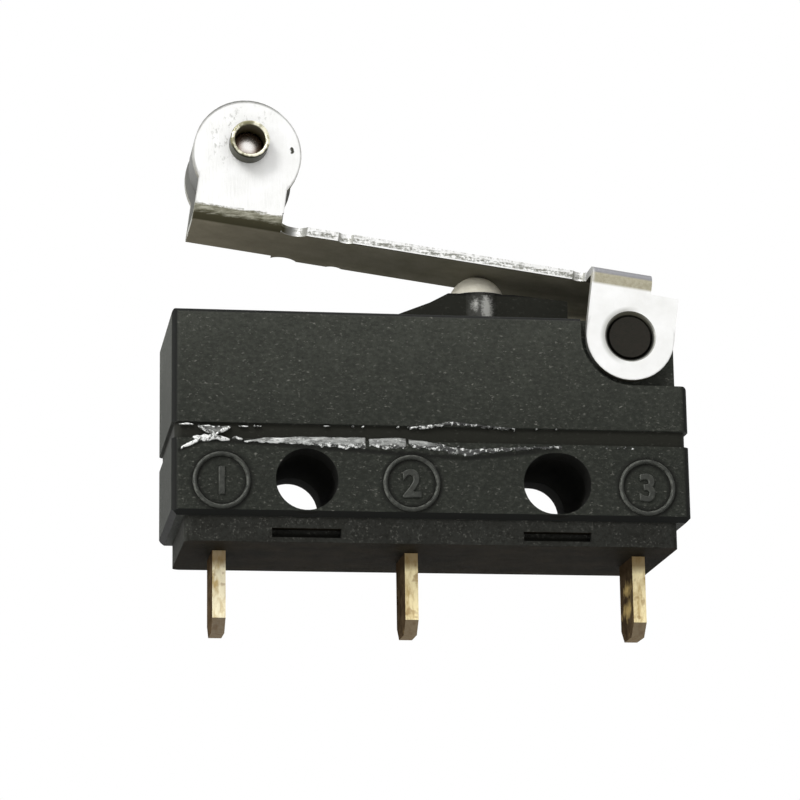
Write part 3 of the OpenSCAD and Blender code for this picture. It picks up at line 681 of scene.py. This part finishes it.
# Two dents in the common terminal's left face have broken through the tarnish.
dents = z.near(-3.45, 0.46).most(z.near(-4.25, 0.55)) * y.near(-0.1, 1.4) * x.near(com_terminal_x - 0.25, 0.3)
face_shade = strip.blend((dents + 1.6 * (spots - 0.5)).between(0.3, 0.85), face_shade, (0.52, 0.38, 0.15))
face = abs(normal_x).between(0.5, 0.9)
tip = abs(normal_z).between(0.15, 0.3)
edge_shade = strip.blend(tip * 0.9, edge_shade, (0.125, 0.09, 0.062))
root = z.between(-3.05, -2.7)
strip_shade = strip.blend(face, edge_shade, face_shade)
strip_shade = strip.blend(root * (1 - face) * 0.8, strip_shade, (0.21, 0.13, 0.05))
strip_shade = strip.blend(root * face * 0.7, strip_shade, (0.03, 0.019, 0.01))
terminal_brass = strip.surface(
    Base_Color=strip_shade,
    Metallic=0.6 * (1 - face.most(tip).most(root)),
    Roughness=0.34 + 0.2 * cloud,
    Specular_IOR_Level=0.0,
    Normal=strip.bump(streak + 0.5 * cloud + dents, 0.05),
)
dress(terminal_brass, "com_terminal", "no_terminal", "nc_terminal")

# ---------------------------------------------------------------------------
# Contacts and springs: silver rivets on a beryllium-copper blade, its rolled
# snap spring and the drive leaf. All of them are shut inside the cover.
# ---------------------------------------------------------------------------
silver = Finish("contact_silver")
haze = silver.noise(silver.point(), 3.0)
contact_silver = silver.surface(
    Base_Color=silver.blend(haze.between(0.35, 0.65), (0.62, 0.61, 0.58), (0.83, 0.82, 0.8)),
    Metallic=1.0,
    Roughness=0.22 + 0.2 * haze,
)
dress(contact_silver, "no_contact", "nc_contact", "moving_contact")

bronze = Finish("spring_bronze")
rolled = bronze.noise(bronze.stretched(bronze.point(), 0.3, 4.0, 1.0), 2.5)
spring_bronze = bronze.surface(
    Base_Color=bronze.blend(rolled.between(0.35, 0.65), (0.45, 0.25, 0.11), (0.66, 0.41, 0.21)),
    Metallic=1.0,
    Roughness=0.26 + 0.2 * rolled,
)
dress(spring_bronze, "contact_blade", "snap_spring", "drive_leaf")

# ---------------------------------------------------------------------------
# Plunger: a turned-looking acetal button, cream coloured, that slides in the
# cover's collar and meets the lever with its dome.
# ---------------------------------------------------------------------------
cream = Finish("plunger_plastic")
point = cream.point()
cloud = cream.noise(point, 2.2)
fine = cream.noise(point, 14.0, 3.0)
plunger_plastic = cream.surface(
    Base_Color=cream.blend(cloud.between(0.3, 0.7), (0.67, 0.635, 0.525), (0.84, 0.805, 0.685)),
    Roughness=0.4 + 0.15 * fine,
    Specular_IOR_Level=0.35,
    Normal=cream.bump(fine, 0.02),
)
dress(plunger_plastic, "plunger")

# ---------------------------------------------------------------------------
# Lever: one blanked and bent piece of nickel-plated steel, with pivot ears, a
# long arm and the roller's bracket. It is bright outside, lightly scratched
# where it was handled, and dull grey-brown underneath.
# ---------------------------------------------------------------------------
lever_angle = math.radians(7.85)
axle_x, axle_z = -2.0301, 13.4056
# The bracket's heads, from the pivot along the arm and square to it
head_along, head_above, head_radius = -15.43, 5.16, 2.1
ear_radius = 1.72

steel = Finish("lever_steel")
point = steel.point()
x, y, z = steel.place()
_, normal_y, normal_z = steel.normal()
# The distance from the pivot along the arm, and the height square to it
along = (x - pivot_x) * math.cos(lever_angle) - (z - pivot_z) * math.sin(lever_angle)
above = (x - pivot_x) * math.sin(lever_angle) + (z - pivot_z) * math.cos(lever_angle)
brushed = steel.noise(steel.stretched(point, 5.0, 1.0, 0.7), 2.4, 5.0, 0.6)
cloud = steel.noise(point, 1.1, 5.0, 0.6)
fine = steel.noise(point, 9.0, 4.0, 0.7)
burr = steel.noise(steel.stretched(point, 0.3, 1.0, 2.0), 6.0, 4.0, 0.7)
under = (0 - normal_z).between(0.1, 0.75)
side = abs(normal_y).between(0.75, 0.97)

# The outer faces shine; the front head is scuffed round the axle, with one dark fleck.
bright = steel.blend(cloud.between(0.3, 0.7), (0.84, 0.84, 0.82), (0.93, 0.93, 0.92))
scuff = steel.noise(steel.stretched(point, 1.6, 1.0, 1.0), 3.4, 5.0, 0.8)
rising = (z - axle_z) - (x - axle_x)
worn = distance(x, z, axle_x, axle_z).between(1.75, 1.25) * rising.between(-0.6, 0.9)
bright = steel.blend(scuff.between(0.55, 0.6) * worn * 0.6, bright, (0.4, 0.4, 0.37))
fleck = (1 - (((x + 0.35) / 0.09) ** 2 + ((z - 13.21) / 0.15) ** 2) + 3.0 * (fine - 0.5)).between(0.2, 0.5)
bright = steel.blend(fleck * (0 - y).between(1.0, 1.2), bright, (0.06, 0.06, 0.05))
# Blanking rolled the outline over; a thin darker line is painted just inside it, as the shade of the rolled
# edge.
from_head = distance(along, above, head_along, head_above)
head_line = from_head.between(head_radius - 0.08, head_radius - 0.03) * above.between(3.9, 4.1)
neck_line = abs(along - head_along).between(ear_radius - 0.06, ear_radius - 0.02)
neck_line = neck_line * above.between(4.2, 4.0) * above.between(2.9, 3.0)
ear_line = distance(along, above).between(ear_radius - 0.06, ear_radius - 0.02) * above.between(0.6, 0.3)
rolled_edge_shade = head_line.most(neck_line * 0.6).most(ear_line * 0.5) * (0.55 + 0.9 * (scuff - 0.4))
bright = steel.blend(rolled_edge_shade, bright, (0.2, 0.2, 0.18))
# The arm's sheared edges are ragged: bright burrs over grey.
arm_edge = along.between(-13.7, -13.5) * along.between(-1.6, -1.8) * above.between(2.2, 2.3)
arm_edge = arm_edge * above.between(2.8, 2.74)
torn = above + 0.24 * (burr - 0.5)
ragged = steel.blend((0.5 * fine + 0.5 * burr).between(0.46, 0.56), (0.24, 0.24, 0.21), (0.93, 0.93, 0.91))
bright = steel.blend(arm_edge * torn.between(2.35, 2.39) * torn.between(2.58, 2.52), bright, ragged)
bright = steel.blend(arm_edge * torn.between(2.58, 2.62) * scuff.between(0.48, 0.58) * 0.8, bright,
                     (0.42, 0.42, 0.39))
# The pivot holes were punched and their lips pulled in; the left side of each lip is painted grey, as its
# shade.
from_pivot = distance(x, z, pivot_x, pivot_z)
lip_shade = from_pivot.between(1.2, 1.04) * (x - pivot_x - 0.3 * (z - pivot_z)).between(0.1, -0.5)
bright = steel.blend(lip_shade * 0.7, bright, (0.36, 0.36, 0.33))
# Upper faces are greyer, and the bend from the saddle into the ears is tan.
saddle = along.between(-1.8, -1.6)
top_shade = steel.blend(cloud.between(0.3, 0.7), (0.33, 0.33, 0.3), (0.44, 0.44, 0.41))
# The pivot holes' walls are painted nearly black, as shade.
top_shade = steel.blend(from_pivot.between(0.98, 0.92), top_shade, (0.03, 0.03, 0.026))
bend_shade = steel.blend(fine.between(0.35, 0.65), (0.35, 0.325, 0.235), (0.45, 0.42, 0.32))
bend_shade = steel.blend(above.between(2.3, 2.38), bend_shade, (0.23, 0.23, 0.24))
bend = saddle * above.between(1.86, 1.96) * (1 - abs(normal_z).between(0.85, 0.97))
# Underneath, the sheet is dull, and painted dark as a reflection of the black housing below, with a dark line
# along its front edge.
under_far = steel.blend(cloud.between(0.3, 0.7), (0.163, 0.154, 0.11), (0.216, 0.203, 0.157))
under_near = steel.blend(cloud.between(0.3, 0.7), (0.17, 0.153, 0.112), (0.22, 0.2, 0.146))
shaded_underside = steel.blend(along.between(-9.0, -16.0), under_far, under_near)
shaded_underside = steel.blend((0 - y).between(1.66, 1.74) * along.between(-12.5, -11.0) * 0.7, shaded_underside,
                          (0.03, 0.029, 0.022))
# A darker streaked band, darkest in its lower half, runs across the foot of the roller's bracket.
streaks = steel.noise(steel.stretched(point, 0.5, 1.0, 3.0), 4.0, 5.0, 0.7)
band_edge = above + 0.35 * (streaks - 0.5) + 0.25 * (fine - 0.5)
band = band_edge.between(2.93, 2.84) * above.between(2.33, 2.36) * along.between(-13.3, -13.6)
band = band * abs(y).between(1.2, 1.3) * normal_z.between(0.4, 0.1)
band_shade = steel.blend(streaks.between(0.38, 0.62), (0.15, 0.145, 0.1), (0.42, 0.41, 0.33))
dark_half = (above + 0.3 * (streaks - 0.5)).between(2.66, 2.54)
band_shade = steel.blend(dark_half, band_shade, (0.062, 0.057, 0.034))
# The bracket's inner faces are dull, and painted grey as the shade between its ears.
inner = abs(y).between(1.8, 1.75) * along.between(-13.0, -13.3)
bright = steel.blend(inner, bright, (0.23, 0.23, 0.215))
shade = steel.blend(side, top_shade, bright)
shade = steel.blend(bend, shade, bend_shade)
shade = steel.blend(under, shade, shaded_underside)
shade = steel.blend(band, shade, band_shade)
lever_steel = steel.surface(
    Base_Color=shade,
    Metallic=0.5 * (1 - under.most(band).most(inner)),
    Roughness=0.36 + 0.22 * brushed,
    Specular_IOR_Level=0.0,
    Normal=steel.bump(brushed + 0.3 * fine, 0.008),
)
dress(lever_steel, "lever")

# ---------------------------------------------------------------------------
# Roller and axle: a turned steel roller with a satin face, on a tubular
# brass-coloured rivet whose ends are rolled over; its bore and the side of its
# tube are painted dark, as shade.
# ---------------------------------------------------------------------------
turned = Finish("roller_metal")
lathe = turned.noise(turned.stretched(turned.point(), 0.4, 6.0, 0.4), 3.0)
roller_metal = turned.surface(
    Base_Color=turned.blend(lathe.between(0.3, 0.7), (0.072, 0.072, 0.064), (0.13, 0.13, 0.117)),
    Metallic=0.5,
    Roughness=0.34 + 0.2 * lathe,
    Normal=turned.bump(lathe, 0.02),
)
dress(roller_metal, "roller")

rivet = Finish("axle_metal")
x, y, z = rivet.place()
radius = distance(x, z, axle_x, axle_z)
tarnish = rivet.noise(rivet.point(), 4.0)
inside = radius.between(0.625, 0.6) * abs(y).between(2.64, 2.58)
dome = abs(y).between(1.34, 1.31)
rim = abs(y).between(2.5, 2.6)
# The tube's side between the ear and the rolled rim is painted near-black, as shade; the rim is pale brass.
outer_shade = rivet.blend(rim, (0.024, 0.024, 0.013), (0.88, 0.85, 0.68))
outer_shade = rivet.blend(tarnish.between(0.52, 0.62) * 0.7 * rim, outer_shade, (0.26, 0.24, 0.14))
# The lower left of the rim lies in its own shade, and the upper left is crusted.
from_lower = 0.5 * (x - axle_x) + (z - axle_z)
shaded_lip = (radius + 0.1 * tarnish).between(0.74, 0.78) * from_lower.between(0.2, -0.1)
outer_shade = rivet.blend(shaded_lip, outer_shade, (0.03, 0.03, 0.016))
crusted = ((z - axle_z) - (x - axle_x)).between(0.3, 0.7) * tarnish.between(0.42, 0.5) * rim
outer_shade = rivet.blend(crusted * 0.8, outer_shade, (0.17, 0.16, 0.085))
# The bore's wall is painted dark, as shade; its domed floor is brown.
bore_shade = rivet.blend(dome, (0.045, 0.042, 0.018), (0.4, 0.3, 0.22))
axle_metal = rivet.surface(
    Base_Color=rivet.blend(inside, outer_shade, bore_shade),
    Metallic=(0.6 * (1 - inside) * rim).most(dome * inside),
    Roughness=0.26 + 0.15 * tarnish,
    Specular_IOR_Level=0.1,
)
dress(axle_metal, "axle")

floor_finish = Finish("rivet_floor_metal")
x, _, z = floor_finish.place()
haze = floor_finish.noise(floor_finish.point(), 5.0, 3.0)
# A painted highlight: the floor is bright in its middle and brown towards its edge.
painted_highlight = (distance(x, z, axle_x, axle_z) + 0.15 * (haze - 0.5)).between(0.42, 0.14)
rivet_floor_metal = floor_finish.surface(
    Base_Color=floor_finish.blend(painted_highlight, (0.3, 0.2, 0.14), (1.0, 0.97, 0.93)),
    Metallic=1.0,
    Roughness=0.24 + 0.06 * haze,
)
cap_radius, cap_rise, cap_thickness, cap_depth = 0.583, 0.07, 0.05, 1.72


def rivet_floor_mesh(name, side):
    """A shallow cap across the axle's bore, cap_depth from the middle plane at its edge.

    Its face swells outwards as cap_rise * (1 - (r / cap_radius)^2).
    """
    radius = np.linspace(0, cap_radius, 9)
    swell = cap_rise * (1 - (radius / cap_radius) ** 2)
    cap = spun(axle_x, axle_z, radius, side * (cap_depth + swell), steps=48)
    rear = cap[::-1].copy()
    rear[:, :, 1] = side * (cap_depth - cap_thickness)
    return grid_mesh(name, np.concatenate([cap, rear]) * MM, around=True, outward=True)


for name, side in (("rivet_floor_front", -1), ("rivet_floor_rear", 1)):
    put(name, rivet_floor_mesh(name, side), rivet_floor_metal, "lever")
